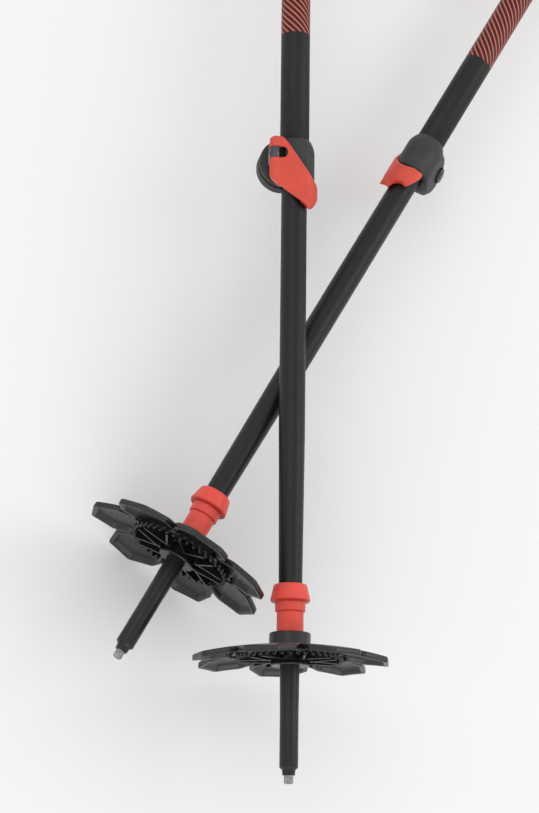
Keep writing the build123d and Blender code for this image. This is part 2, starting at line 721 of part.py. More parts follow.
# The origin is the middle of the pair's footprint, on the floor.
boxes = [piece.bounding_box() for piece in placed.values()]
CENTRE = Vector(
    (min(box.min.X for box in boxes) + max(box.max.X for box in boxes)) / 2,
    (min(box.min.Y for box in boxes) + max(box.max.Y for box in boxes)) / 2,
    min(box.min.Z for box in boxes),
)

os.makedirs("parts", exist_ok=True)
for name, piece in placed.items():
    piece = piece.moved(Location(CENTRE * -1))
    piece.label = name
    export_step(piece, f"parts/{name}.step")
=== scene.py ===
"""Looks of a pair of crossed trekking poles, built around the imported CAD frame. Lengths are metres."""
import json
import math
from functools import lru_cache

import bmesh
import bpy
from mathutils import Matrix, Vector


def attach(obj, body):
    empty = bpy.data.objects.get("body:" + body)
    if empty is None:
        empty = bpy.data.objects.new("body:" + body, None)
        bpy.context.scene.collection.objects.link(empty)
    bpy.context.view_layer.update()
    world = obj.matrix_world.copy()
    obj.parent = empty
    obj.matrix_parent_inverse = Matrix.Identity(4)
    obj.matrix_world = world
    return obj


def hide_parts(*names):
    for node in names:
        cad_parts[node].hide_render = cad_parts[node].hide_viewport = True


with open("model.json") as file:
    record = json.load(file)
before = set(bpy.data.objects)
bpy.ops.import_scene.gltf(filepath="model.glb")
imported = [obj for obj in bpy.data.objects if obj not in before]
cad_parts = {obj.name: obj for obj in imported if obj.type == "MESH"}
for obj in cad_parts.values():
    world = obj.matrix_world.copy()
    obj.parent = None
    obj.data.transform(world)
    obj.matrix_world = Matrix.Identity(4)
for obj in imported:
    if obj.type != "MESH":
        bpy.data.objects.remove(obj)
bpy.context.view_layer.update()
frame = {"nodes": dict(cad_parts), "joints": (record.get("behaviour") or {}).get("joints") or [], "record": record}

MM = 0.001
SIDES = ("left", "right")

# ---- Where the poles are, read from the frame ----------------------------------------------------
TIP_MOUNT_STATION = 22.15 * MM      # station of the tip mounts above the tip's end
STRAP_SIDE = {"left": 1.0, "right": -1.0}   # the strap leaves each grip away from the other pole


class Pole:
    """One pole's own frame: origin at its tip, an axis along it and the side facing up."""

    def __init__(self, side):
        joints = {joint["name"]: joint for joint in frame["joints"]}
        mounts = {mount["name"]: mount for mount in frame["record"]["mounts"]}
        self.side = side
        self.axis = Vector(joints[f"{side}_extend"]["axis"]).normalized()
        self.tip = Vector(mounts[f"{side}_tip"]["pos_m"]) - self.axis * TIP_MOUNT_STATION
        self.upward = (Vector((0, 0, 1)) - self.axis * self.axis.z).normalized()
        self.across = self.axis.cross(self.upward)
        self.strap_side = self.across * STRAP_SIDE[side]

    def point(self, angle, radius, station):
        """Point at an angle in radians from the side facing up, a radius and a station."""
        radial = self.upward * math.cos(angle) + self.across * math.sin(angle)
        return self.tip + self.axis * station + radial * radius

    def grip_point(self, x, y, station):
        """Point by its reach towards the strap and its height over the pole's axis."""
        return self.tip + self.axis * station + self.strap_side * x + self.upward * y


POLES = {side: Pole(side) for side in SIDES}


# ---- Shader helpers ------------------------------------------------------------------------------
RED = (0.58, 0.052, 0.027)
BRIGHT_RED = (0.74, 0.060, 0.038)
TUBE_BLACK = (0.007, 0.007, 0.008)
PRINT_MAROON = (0.05, 0.003, 0.0025)
PRINT_SALMON = (0.52, 0.14, 0.10)


class Shader:
    """A Principled material and the nodes that feed it."""

    def __init__(self, name, color, roughness, **sockets):
        self.material = bpy.data.materials.new(name)
        self.material.use_nodes = True
        self.nodes = self.material.node_tree.nodes
        self.links = self.material.node_tree.links
        self.bsdf = self.nodes["Principled BSDF"]
        self.bsdf.inputs["Base Color"].default_value = (*color, 1.0)
        self.bsdf.inputs["Roughness"].default_value = roughness
        for socket, value in sockets.items():
            self.bsdf.inputs[socket.replace("_", " ")].default_value = value

    def node(self, kind, operation=None, **inputs):
        """Adds a node. Inputs are given by socket index as i0, i1 or by name, as values or sockets."""
        node = self.nodes.new(kind)
        if operation:
            node.operation = operation
        for key, value in inputs.items():
            socket = node.inputs[int(key[1:])] if key[1:].isdigit() else node.inputs[key]
            if isinstance(value, bpy.types.NodeSocket):
                self.links.new(value, socket)
            else:
                socket.default_value = value
        return node

    def math(self, operation, first, second=0.0, third=0.0):
        """A math node's result."""
        return self.node("ShaderNodeMath", operation, i0=first, i1=second, i2=third).outputs[0]

    def place(self):
        """Object coordinates, which are the row's own metres."""
        return self.node("ShaderNodeTexCoord").outputs["Object"]

    def noise(self, scale, detail=3.0, roughness=0.5, vector=None):
        """Noise at a scale in features per metre."""
        node = self.node("ShaderNodeTexNoise", Scale=scale, Detail=detail, Roughness=roughness)
        self.links.new(vector or self.place(), node.inputs["Vector"])
        return node.outputs["Fac"]

    def spread(self, value, low, high):
        """Stretches a 0.35 to 0.65 noise value over low to high."""
        node = self.node("ShaderNodeMapRange", Value=value)
        node.inputs["From Min"].default_value = 0.35
        node.inputs["From Max"].default_value = 0.65
        node.inputs["To Min"].default_value = low
        node.inputs["To Max"].default_value = high
        return node.outputs["Result"]

    def mix(self, factor, first, second):
        """Colour mix of two colours or sockets."""
        node = self.nodes.new("ShaderNodeMix")
        node.data_type = "RGBA"
        sockets = (node.inputs["Factor"], node.inputs[6], node.inputs[7])
        for socket, value in zip(sockets, (factor, first, second)):
            if isinstance(value, bpy.types.NodeSocket):
                self.links.new(value, socket)
            else:
                socket.default_value = (*value, 1.0) if hasattr(value, "__len__") else value
        return node.outputs[2]

    def color(self, socket):
        self.links.new(socket, self.bsdf.inputs["Base Color"])

    def roughness(self, socket):
        self.links.new(socket, self.bsdf.inputs["Roughness"])

    def bump(self, height, strength, distance):
        """Bump from a height socket, with the distance in metres, stacked on any earlier bump."""
        node = self.node("ShaderNodeBump", Height=height, Strength=strength, Distance=distance)
        earlier = self.bsdf.inputs["Normal"].links
        if earlier:
            self.links.new(earlier[0].from_socket, node.inputs["Normal"])
        self.links.new(node.outputs["Normal"], self.bsdf.inputs["Normal"])


def moulded_plastic(name, color, roughness, grain=5200.0, grain_depth=0.35, tint=0.25, **sockets):
    """Moulded plastic: fine spark grain, soft flow variation and slightly uneven gloss."""
    shader = Shader(name, color, roughness, **sockets)
    flow = shader.spread(shader.noise(90.0, 4.0), 0.0, 1.0)
    darker = tuple(channel * (1.0 - tint) for channel in color)
    lighter = tuple(min(1.0, channel * (1.0 + tint)) for channel in color)
    shader.color(shader.mix(flow, darker, lighter))
    wear = shader.spread(shader.noise(700.0, 5.0), roughness - 0.06, roughness + 0.08)
    shader.roughness(wear)
    shader.bump(shader.noise(grain, 2.0), grain_depth, 0.00006)
    shader.bump(shader.noise(160.0, 2.0), 0.12, 0.0002)
    return shader.material


def painted_tube(name, color, roughness):
    """Satin paint on a drawn tube: orange peel, faint mottling and hair scratches along the pole."""
    shader = Shader(name, color, roughness, Specular_IOR_Level=0.3)
    mottle = shader.spread(shader.noise(35.0, 4.0), 0.0, 1.0)
    shader.color(shader.mix(mottle, tuple(c * 0.88 for c in color), tuple(c * 1.14 for c in color)))
    shader.roughness(shader.spread(shader.noise(420.0, 5.0), roughness - 0.05, roughness + 0.07))
    shader.bump(shader.noise(2600.0, 2.0), 0.22, 0.00005)
    return shader


def metal(name, color, roughness, grain=3000.0):
    """Bare or blackened metal with a fine ground finish."""
    shader = Shader(name, color, roughness, Metallic=1.0)
    patches = shader.spread(shader.noise(600.0, 4.0), 0.0, 1.0)
    shader.color(shader.mix(patches, tuple(c * 0.75 for c in color), tuple(min(1.0, c * 1.2) for c in color)))
    shader.roughness(shader.spread(shader.noise(1500.0, 3.0), roughness - 0.1, roughness + 0.12))
    shader.bump(shader.noise(grain, 3.0), 0.4, 0.00005)
    return shader.material


# Pinstripes of the upper tubes, in millimetres on the unrolled tube.
PRINT_START = {"left": 408.5, "right": 410.5}   # station where the print begins
STRIPES_AROUND = 14
STRIPE_SLANT = math.radians(45.0)
LINE_HALF = 0.37


def stripes(shader, value, pitch):
    """1 on lines that repeat at a pitch, 0 between them."""
    cycle = shader.math("FRACT", shader.math("MULTIPLY_ADD", value, 1.0 / pitch, 0.5))
    off_middle = shader.math("ABSOLUTE", shader.math("SUBTRACT", cycle, 0.5))
    off_line = shader.math("MULTIPLY", off_middle, pitch)
    return shader.math("LESS_THAN", off_line, LINE_HALF)


def printed_tube(name, tube_radius):
    """The painted tube with a generic print above its start: even pinstripes that wind round it."""
    shader = painted_tube(name, TUBE_BLACK, 0.42)
    paint = shader.bsdf.inputs["Base Color"].links[0].from_socket
    split = shader.node("ShaderNodeSeparateXYZ", Vector=shader.node("ShaderNodeUVMap").outputs["UV"])
    around = shader.math("MULTIPLY", split.outputs[0], math.cos(STRIPE_SLANT))
    across = shader.math("MULTIPLY_ADD", split.outputs[1], math.sin(STRIPE_SLANT), around)
    pitch = 2 * math.pi * tube_radius * math.cos(STRIPE_SLANT) / STRIPES_AROUND
    lines = stripes(shader, across, pitch)
    printed = shader.math("GREATER_THAN", split.outputs[1], 0.0)
    ink = shader.mix(lines, PRINT_MAROON, PRINT_SALMON)
    shader.color(shader.mix(printed, paint, ink))
    shader.bump(shader.math("MULTIPLY", lines, printed), 0.25, 0.00004)
    return shader.material


def foam():
    """Closed-cell foam: fine open pores in a matt, slightly mottled surface."""
    shader = Shader("foam_black", (0.018, 0.018, 0.019), 0.88, Specular_IOR_Level=0.25)
    cells = shader.node("ShaderNodeTexVoronoi", Scale=1500.0)
    shader.links.new(shader.place(), cells.inputs["Vector"])
    mottle = shader.spread(shader.noise(120.0, 5.0), 0.0, 1.0)
    shader.color(shader.mix(mottle, (0.013, 0.013, 0.014), (0.028, 0.028, 0.03)))
    shader.bump(cells.outputs["Distance"], 0.6, 0.00025)
    shader.bump(shader.noise(300.0, 4.0), 0.25, 0.0004)
    return shader.material


HERRINGBONES, WARP_RIBS = 5.0, 22.0     # across the webbing
YARNS_PER_METRE = 900.0


def webbing_cloth():
    """Woven webbing: a herringbone of warp and weft from the strap's own coordinates, with painted shade in the
    weave's hollows.
    """
    shader = Shader("webbing_black", (0.02, 0.02, 0.022), 0.8, Specular_IOR_Level=0.3, Sheen_Weight=0.25)
    uv = shader.node("ShaderNodeUVMap").outputs["UV"]
    split = shader.node("ShaderNodeSeparateXYZ", Vector=uv)
    across, along = split.outputs[0], split.outputs[1]
    cycle = shader.math("FRACT", shader.math("MULTIPLY", across, HERRINGBONES))
    fold = shader.math("ABSOLUTE", shader.math("SUBTRACT", cycle, 0.5))
    yarns = shader.math("MULTIPLY", along, YARNS_PER_METRE)
    twill = shader.math("ADD", yarns, shader.math("MULTIPLY", fold, 4.0))
    yarn = shader.math("SINE", shader.math("MULTIPLY", twill, 2 * math.pi))
    rib = shader.math("SINE", shader.math("MULTIPLY", across, 2 * math.pi * WARP_RIBS))
    weave = shader.math("MULTIPLY_ADD", yarn, 0.5, shader.math("MULTIPLY", rib, 0.4))
    height = shader.math("MULTIPLY_ADD", weave, 0.5, 0.5)
    # The weave's height also sets the colour: painted shade in the hollows between the yarns and painted light on
    # the yarn tops.
    shader.color(shader.mix(height, (0.008, 0.008, 0.009), (0.045, 0.045, 0.048)))
    shader.bump(height, 0.7, 0.0003)
    return shader.material


# ---- Materials -----------------------------------------------------------------------------------
MATERIALS = {
    "carbide": metal("carbide_ground", (0.30, 0.295, 0.29), 0.42),
    "tip_plastic": moulded_plastic(
        "tip_black", (0.006, 0.006, 0.007), 0.34, grain_depth=0.15, Specular_IOR_Level=0.36,
    ),
    "basket_plastic": moulded_plastic(
        "basket_black", (0.007, 0.007, 0.008), 0.32, grain_depth=0.03, Specular_IOR_Level=0.48,
    ),
    "ferrule_plastic": moulded_plastic("ferrule_red", BRIGHT_RED, 0.42, grain_depth=0.12, tint=0.08),
    "lower_tube": painted_tube("lower_tube_black", TUBE_BLACK, 0.4).material,
    "upper_tube": painted_tube("upper_tube_black", TUBE_BLACK, 0.42).material,
    "nylon": moulded_plastic("nylon_natural", (0.55, 0.54, 0.5), 0.5, tint=0.06),
    "clamp_plastic": moulded_plastic(
        "clamp_black", (0.022, 0.022, 0.023), 0.5, grain_depth=0.5, Specular_IOR_Level=0.4,
    ),
    "steel": metal("steel_bright", (0.55, 0.55, 0.56), 0.32),
    "dark_steel": metal("steel_blackened", (0.09, 0.09, 0.1), 0.4),
    "lever_plastic": moulded_plastic("lever_red", RED, 0.4, grain_depth=0.15, tint=0.08),
    "nut_alloy": metal("nut_anodised", (0.05, 0.05, 0.055), 0.35),
    "cap_plastic": moulded_plastic("cap_black", (0.018, 0.018, 0.019), 0.45),
    "grip_foam": foam(),
    "grip_rubber": moulded_plastic("grip_rubber", (0.024, 0.024, 0.026), 0.68, grain=2600.0, grain_depth=0.7),
    "webbing": webbing_cloth(),
}
SLOT_OF_NODE = {part["node"]: part["material_slot"] for part in frame["record"]["subparts"]}


def dress(piece, slot):
    """Gives a piece the one material of its slot."""
    piece.data.materials.clear()
    piece.data.materials.append(MATERIALS[slot])


# ---- Hard parts: the frame's own pieces, with their edges softened. Millimetres ------------------
EDGE_WIDTHS = {"ferrule": 0.4, "grip_cap": 0.8, "extension_collar": 0.4, "tip_section": 0.3}
FINE_EDGE = 0.12                    # the edge width of all other pieces
MOULDED = {"clamp_lever": (0.3, 14), "clamp_housing": (0.35, 10)}   # voxel size, smoothing steps
WELD_REACH = 0.002


def weld(node):
    """Joins the vertices that the frame's file holds apart at sharp edges."""
    modifier = node.modifiers.new("weld", "WELD")
    modifier.merge_threshold = WELD_REACH * MM


def soften(node, width):
    """Rounds a hard piece's sharp edges without moving its faces."""
    weld(node)
    bevel = node.modifiers.new("edges", "BEVEL")
    bevel.width = width * MM
    bevel.segments = 3
    bevel.limit_method = "ANGLE"
    bevel.angle_limit = math.radians(32.0)
    bevel.harden_normals = True
    bevel.use_clamp_overlap = True


def soften_all_over(node, voxel, steps):
    """Gives a moulded piece soft edges and corners all over."""
    weld(node)
    remesh = node.modifiers.new("voxels", "REMESH")
    remesh.mode = "VOXEL"
    remesh.voxel_size = voxel * MM
    remesh.use_smooth_shade = True
    smooth = node.modifiers.new("smooth", "SMOOTH")
    smooth.factor = 0.5
    smooth.iterations = steps


for name, node in frame["nodes"].items():
    dress(node, SLOT_OF_NODE[name])
    piece = name.split("_", 1)[1]
    if piece in MOULDED:
        soften_all_over(node, *MOULDED[piece])
    else:
        soften(node, EDGE_WIDTHS.get(piece, FINE_EDGE))


# ---- Own meshes ----------------------------------------------------------------------------------
def new_piece(name, rings, slot, joined_ends=False):
    """Skins rings of points into a piece with its slot's material. Its ends are capped or joined."""
    shape = bmesh.new()
    rows = [[shape.verts.new(point) for point in ring] for ring in rings]
    count = len(rings[0])
    steps = len(rows) if joined_ends else len(rows) - 1
    for step in range(steps):
        first, second = rows[step], rows[(step + 1) % len(rows)]
        for index in range(count):
            following = (index + 1) % count
            shape.faces.new((first[index], first[following], second[following], second[index]))
    if not joined_ends:
        shape.faces.new(list(reversed(rows[0])))
        shape.faces.new(rows[-1])
    bmesh.ops.recalc_face_normals(shape, faces=shape.faces)
    mesh = bpy.data.meshes.new(name)
    shape.to_mesh(mesh)
    shape.free()
    mesh.shade_smooth()
    piece = bpy.data.objects.new(name, mesh)
    bpy.context.collection.objects.link(piece)
    dress(piece, slot)
    return piece


def lathe(name, pole, profile, slot, segments=96):
    """Round piece about the pole's axis from a closed profile of (radius, station) in millimetres."""
    turns = [2 * math.pi * step / segments for step in range(segments)]
    rings = [[pole.point(turn, radius * MM, station * MM) for turn in turns] for radius, station in profile]
    return new_piece(name, rings, slot, joined_ends=True)


def smooth_value(knots, place):
    """Value between (place, value) knots, eased so that the slope is level at each knot."""
    for (start, low), (end, high) in zip(knots, knots[1:]):
        if place <= end:
            share = max(0.0, (place - start) / (end - start))
            return low + (high - low) * share * share * (3.0 - 2.0 * share)
    return knots[-1][1]


# ---- Basket: stations and radii in millimetres ---------------------------------------------------
BASKET_ROLL = {"left": -2.5, "right": 14.3}     # degrees from the side facing up
LOBES = 7
LOBE_SPAN = 2 * math.pi / LOBES
LOBE_OUTLINE = [(51.8, 9.2), (42.0, 22.7), (31.0, 180.0 / LOBES)]   # radius, degrees from its middle
CORNER_ROUNDING = 0.022             # radians over which the outline's corners are rounded
OUTLINE_STEPS = 90                  # per lobe, for measuring how far a place is from the outline
CROWN, EDGE_DROP = 70.6, 6.2        # the dish's top at its middle, and its droop
RIM_THICK, SKIN = 3.2, 1.1          # of the border round each lobe, and of the tray inside it
BORDER, BORDER_SLOPE = 1.7, 2.6     # the border's width, and the width of its slope to the tray
RIM_INSET, RIM_ROUNDING = 0.55, 0.16
HUB_BORE, HUB_NECK, HUB_R, FOOT_R = 5.18, 8.6, 10.9, 10.0
HUB_LOW, HUB_TOP = 60.6, 77.9
DISC_START = HUB_R + 0.9
SAMPLES_PER_LOBE, TOP_STEPS, UNDERSIDE_STEPS = 80, 16, 80
HUB_PROFILE = [                     # radius, station: from the bore over the collar to the dish
    (HUB_BORE, HUB_LOW + 0.3), (HUB_BORE, HUB_TOP - 0.3), (HUB_BORE + 0.3, HUB_TOP),
    (HUB_R - 0.9, HUB_TOP), (HUB_R - 0.25, HUB_TOP - 0.25), (HUB_R, HUB_TOP - 0.9),
    (HUB_R, CROWN + 0.6), (HUB_R + 0.25, CROWN + 0.05),
]
FOOT_PROFILE = [                    # from the dish's underside down the neck and round the foot ring
    (HUB_NECK + 0.6, CROWN - 2.2), (HUB_NECK, CROWN - 3.0), (HUB_NECK, HUB_LOW + 2.0),
    (FOOT_R - 0.5, HUB_LOW + 1.5), (FOOT_R, HUB_LOW + 1.2), (FOOT_R, HUB_LOW + 0.4),
    (FOOT_R - 0.4, HUB_LOW), (HUB_BORE + 0.3, HUB_LOW),
]
TEETH, TOOTH_R, TOOTH_WALL = 42, 26.4, 1.8
TOOTH_ROOT, TOOTH_DEPTH, TOOTH_ROUNDING = HUB_LOW + 4.7, 2.3, 0.3
SAMPLES_PER_TOOTH = 12
WEB_LENGTH, WEB_HALF_THICK, WEB_MIDDLE_R, WEB_LOW = 16.8, 0.6, 18.0, HUB_LOW + 2.2
WEB_LEAN = 24.0                     # degrees; the shares below are of it
WEB_TURN_SHARE, WEB_HEADING_SHARE = 0.45, 0.9
BOSS_R, BOSS_HEIGHT, BOSS_ROUNDING, BOSS_CENTRE_R, BOSS_SIDES = 1.5, 1.3, 0.4, 29.8, 20
SUNK = 0.3                          # how far walls and bosses reach into the dish
BASKET_EDGE = 0.22


def ease(share):
    """0 to 1 with level ends."""
    return share * share * (3.0 - 2.0 * share)


def from_lobe_middle(turn):
    """Signed angle from the nearest lobe's middle."""
    return (turn + LOBE_SPAN / 2) % LOBE_SPAN - LOBE_SPAN / 2


def outline_radius(turn):
    """Radius of the lobed outline in a direction, along its straight edges."""
    off = abs(from_lobe_middle(turn))
    (end_r, end), *rest = [(radius, math.radians(angle)) for radius, angle in LOBE_OUTLINE]
    if off <= end:
        return end_r * math.cos(end) / math.cos(off)
    first = (end_r, end)
    for second in rest:
        if off <= second[1] + 1e-9:
            across = first[0] * math.sin(off - first[1]) + second[0] * math.sin(second[1] - off)
            return first[0] * second[0] * math.sin(second[1] - first[1]) / across
        first = second
    return first[0]


def rounded_radius(turn):
    """The outline with its corners rounded."""
    shares = (-1.0, -0.5, 0.0, 0.5, 1.0)
    return sum(outline_radius(turn + share * CORNER_ROUNDING) for share in shares) / len(shares)


def dish_top(radius):
    """Station of the drooping dish's upper face."""
    return CROWN - EDGE_DROP * (radius / LOBE_OUTLINE[0][0]) ** 2


OUTLINE_POINTS = [
    Vector((rounded_radius(turn) * math.cos(turn), rounded_radius(turn) * math.sin(turn)))
    for turn in [LOBE_SPAN * (step / OUTLINE_STEPS - 0.75) for step in range(OUTLINE_STEPS * 3 // 2 + 1)]
]


@lru_cache(maxsize=None)
def thickness_at(off, radius):
    """Thickness at an angle off a lobe's middle: thick in its border, thin in the tray inside it."""
    place = Vector((radius * math.cos(off), radius * math.sin(off)))
    inset = min((place - edge).length for edge in OUTLINE_POINTS)
    share = min(1.0, max(0.0, (inset - BORDER) / BORDER_SLOPE))
    return RIM_THICK + (SKIN - RIM_THICK) * ease(share)


def disc_thickness(turn, radius):
    """The dish's thickness in any direction, from its one-lobe table."""
    return thickness_at(round(abs(from_lobe_middle(turn)), 6), round(radius, 4))


def no_thickness(turn, radius):
    """Stands in for disc_thickness on the upper face."""
    return 0.0


def basket_disc_rings(place):
    """Closed section of the basket, from the bore over the dish and its rim to the foot ring."""
    samples = SAMPLES_PER_LOBE * LOBES
    turns = [2 * math.pi * step / samples for step in range(samples)]
    radii = [rounded_radius(turn) for turn in turns]

    def level(radius, station):
        return [place(turn, radius, station) for turn in turns]

    def rim(inset, below):
        points = zip(turns, radii)
        return [place(turn, edge - inset, dish_top(edge - inset) - below) for turn, edge in points]

    def dish(share, thickness):
        """Ring at a share of the way from the hub to the rim, a thickness under the dish."""
        ring = []
        for turn, edge in zip(turns, radii):
            radius = DISC_START + (edge - RIM_INSET - DISC_START) * share
            ring.append(place(turn, radius, dish_top(radius) - thickness(turn, radius)))
        return ring

    rings = [level(radius, station) for radius, station in HUB_PROFILE]
    rings += [dish(step / TOP_STEPS, no_thickness) for step in range(TOP_STEPS + 1)]
    rings += [rim(RIM_ROUNDING, RIM_ROUNDING), rim(0.0, RIM_INSET)]
    rings += [rim(0.0, RIM_THICK - RIM_INSET), rim(RIM_ROUNDING, RIM_THICK - RIM_ROUNDING)]
    for step in range(UNDERSIDE_STEPS + 1):
        rings.append(dish(1.0 - step / UNDERSIDE_STEPS, disc_thickness))
    rings += [level(radius, station) for radius, station in FOOT_PROFILE]
    return rings


def tooth_ring_rings(place):
    """Wall under the dish whose lower edge is cut into rounded teeth."""
    samples = TEETH * SAMPLES_PER_TOOTH
    turns = [2 * math.pi * step / samples for step in range(samples)]
    outer = TOOTH_R + TOOTH_WALL

    def upper(radius):
        return [place(turn, radius, dish_top(radius) - SKIN + SUNK) for turn in turns]

    def lower(radius, rise):
        ring = []
        for turn in turns:
            edge = TOOTH_ROOT - TOOTH_DEPTH * (0.5 + 0.5 * math.cos(TEETH * turn))
            ring.append(place(turn, radius, edge + rise))
        return ring

    return [
        upper(TOOTH_R), lower(TOOTH_R, TOOTH_ROUNDING), lower(TOOTH_R + TOOTH_ROUNDING, 0.0),
        lower(outer - TOOTH_ROUNDING, 0.0), lower(outer, TOOTH_ROUNDING), upper(outer),
    ]


def web_rings(place, pair, lean):
    """One web between the hub and the toothed wall: its lower and its upper four corners."""
    turn = math.radians(pair * 360.0 / LOBES + WEB_TURN_SHARE * lean)
    heading = turn + math.radians(WEB_HEADING_SHARE * lean)
    lower, upper = [], []
    for along, aside in ((-1, -1), (1, -1), (1, 1), (-1, 1)):
        reach, thick = along * WEB_LENGTH / 2, aside * WEB_HALF_THICK
        x = WEB_MIDDLE_R * math.sin(turn) + reach * math.sin(heading) + thick * math.cos(heading)
        y = WEB_MIDDLE_R * math.cos(turn) + reach * math.cos(heading) - thick * math.sin(heading)
        direction, radius = math.atan2(x, y), math.hypot(x, y)
        lower.append(place(direction, radius, WEB_LOW))
        upper.append(place(direction, radius, dish_top(radius) - SKIN + SUNK))
    return [lower, upper]


def boss_rings(place, notch):
    """Small round boss at the root of a notch."""
    turn = (notch + 0.5) * LOBE_SPAN
    top = dish_top(BOSS_CENTRE_R) - RIM_THICK + SUNK
    rings = []
    for radius, lower in (
        (BOSS_R, 0.0), (BOSS_R, BOSS_HEIGHT - BOSS_ROUNDING), (BOSS_R - BOSS_ROUNDING, BOSS_HEIGHT),
    ):
        ring = []
        for step in range(BOSS_SIDES):
            spot = 2 * math.pi * step / BOSS_SIDES
            x, y = BOSS_CENTRE_R + radius * math.cos(spot), radius * math.sin(spot)
            ring.append(place(turn + math.atan2(y, x), math.hypot(x, y), top - lower))
        rings.append(ring)
    return rings


def join(parts):
    """Puts the meshes of several pieces into the first one."""
    shape = bmesh.new()
    for part in parts:
        shape.from_mesh(part.data)
    shape.to_mesh(parts[0].data)
    shape.free()
    for part in parts[1:]:
        bpy.data.objects.remove(part)
    return parts[0]


def make_basket(pole):
    """Snow basket: the dish with its hub, the toothed wall, the bosses and pairs of webs."""
    roll = math.radians(BASKET_ROLL[pole.side])

    def place(turn, radius, station):
        return pole.point(turn + roll, radius * MM, station * MM)

    slot = "basket_plastic"
    parts = [new_piece(f"{pole.side}_basket_disc", basket_disc_rings(place), slot, joined_ends=True)]
    parts.append(new_piece("tooth_ring", tooth_ring_rings(place), slot))
    for notch in range(LOBES):
        parts.append(new_piece("boss", boss_rings(place, notch), slot))
    for pair in range(LOBES):
        for lean in (-WEB_LEAN, WEB_LEAN):
            parts.append(new_piece("web", web_rings(place, pair, lean), slot))
    basket = join(parts)
    soften(basket, BASKET_EDGE)
    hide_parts(f"{pole.side}_basket")
    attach(basket, f"{pole.side}_lower")


# ---- Upper tube with its print -------------------------------------------------------------------
UPPER_BORE, UPPER_OUT = 7.06, 8.0
UPPER_LOW, UPPER_TOP = 332.5, 922.0


def make_upper_tube(pole):
    """Upper tube whose UV layer holds millimetres around it and above the start of its print."""
    edge = 0.25
    profile = [
        (UPPER_BORE, UPPER_LOW + edge), (UPPER_BORE + edge, UPPER_LOW), (UPPER_OUT - edge, UPPER_LOW),
        (UPPER_OUT, UPPER_LOW + edge), (UPPER_OUT, PRINT_START[pole.side]), (UPPER_OUT, UPPER_TOP - edge),
        (UPPER_OUT - edge, UPPER_TOP), (UPPER_BORE + edge, UPPER_TOP), (UPPER_BORE, UPPER_TOP - edge),
    ]
    tube = lathe(f"{pole.side}_printed_tube", pole, profile, "upper_tube")
    tube.data.materials[0] = printed_tube(f"{pole.side}_upper_tube_print", UPPER_OUT)
    layer = tube.data.uv_layers.new(name="print")
    for polygon in tube.data.polygons:
        angles = []
        for loop in polygon.loop_indices:
            offset = tube.data.vertices[tube.data.loops[loop].vertex_index].co - pole.tip
            turn = math.atan2(offset.dot(pole.across), offset.dot(pole.upward))
            angles.append((loop, (turn + math.pi) % (2 * math.pi) - math.pi, offset.dot(pole.axis)))
        highest = max(turn for _, turn, _ in angles)
        for loop, turn, station in angles:
            if highest - turn > math.pi:
                turn += 2 * math.pi
            layer.data[loop].uv = (turn * UPPER_OUT, station / MM - PRINT_START[pole.side])
    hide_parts(f"{pole.side}_upper_shaft")
    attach(tube, f"{pole.side}_upper")


# ---- Foam sleeve ---------------------------------------------------------------------------------
FOAM_LOW, FOAM_TOP, FOAM_R, FOAM_BORE = 636.0, 822.0, 14.0, 8.03
FOAM_PLAIN = 14.0                   # length without rings at each end
GROOVE_PITCH, GROOVE_DEPTH = 11.0, 0.9


def make_foam(pole):
    """Sleeve with rounded ends and shallow moulded rings along its middle."""
    outline = [(FOAM_BORE, FOAM_LOW), (FOAM_R - 1.6, FOAM_LOW)]
    steps = 260
    for step in range(steps + 1):
        station = FOAM_LOW + (FOAM_TOP - FOAM_LOW) * step / steps
        rounding = 1.5 * max(0.0, 1.0 - (station - FOAM_LOW) / 5.0) ** 2
        radius = FOAM_R - rounding
        if FOAM_LOW + FOAM_PLAIN < station < FOAM_TOP - FOAM_PLAIN:
            wave = math.cos(2 * math.pi * (station - FOAM_LOW - FOAM_PLAIN) / GROOVE_PITCH)
            radius -= GROOVE_DEPTH * max(0.0, wave) ** 6
        outline.append((radius, station + 0.02 * (step == 0)))
    outline.append((FOAM_BORE, FOAM_TOP))
    sleeve = lathe(f"{pole.side}_foam_sleeve", pole, outline, "grip_foam")
    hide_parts(f"{pole.side}_grip_extension")
    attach(sleeve, f"{pole.side}_upper")


# ---- Grip ----------------------------------------------------------------------------------------
GRIP_HALF_WIDTH = [(822, 14.6), (838, 13.6), (868, 14.8), (896, 14.2), (916, 16.2), (932, 18.4), (946, 16.5)]
GRIP_HALF_DEPTH = [(822, 15.2), (838, 15.6), (868, 17.8), (896, 16.6), (916, 19.0), (932, 23.0), (946, 21.0)]
GRIP_SHIFT = [(822, 0.0), (838, 0.6), (868, 1.0), (896, 0.6), (916, 1.5), (932, 4.0), (946, 5.0)]
RIB_PITCH, RIB_DEPTH = 5.2, 0.7
RIBS_LOW, RIBS_TOP = 842.0, 908.0
FINGER_PITCH, FINGER_DEPTH = 21.0, 0.7
FINGERS_LOW, FINGERS_TOP = 836.0, 910.0
GRIP_LOW, GRIP_TOP = 822.0, 946.0
SLOT_STATION = 935.0


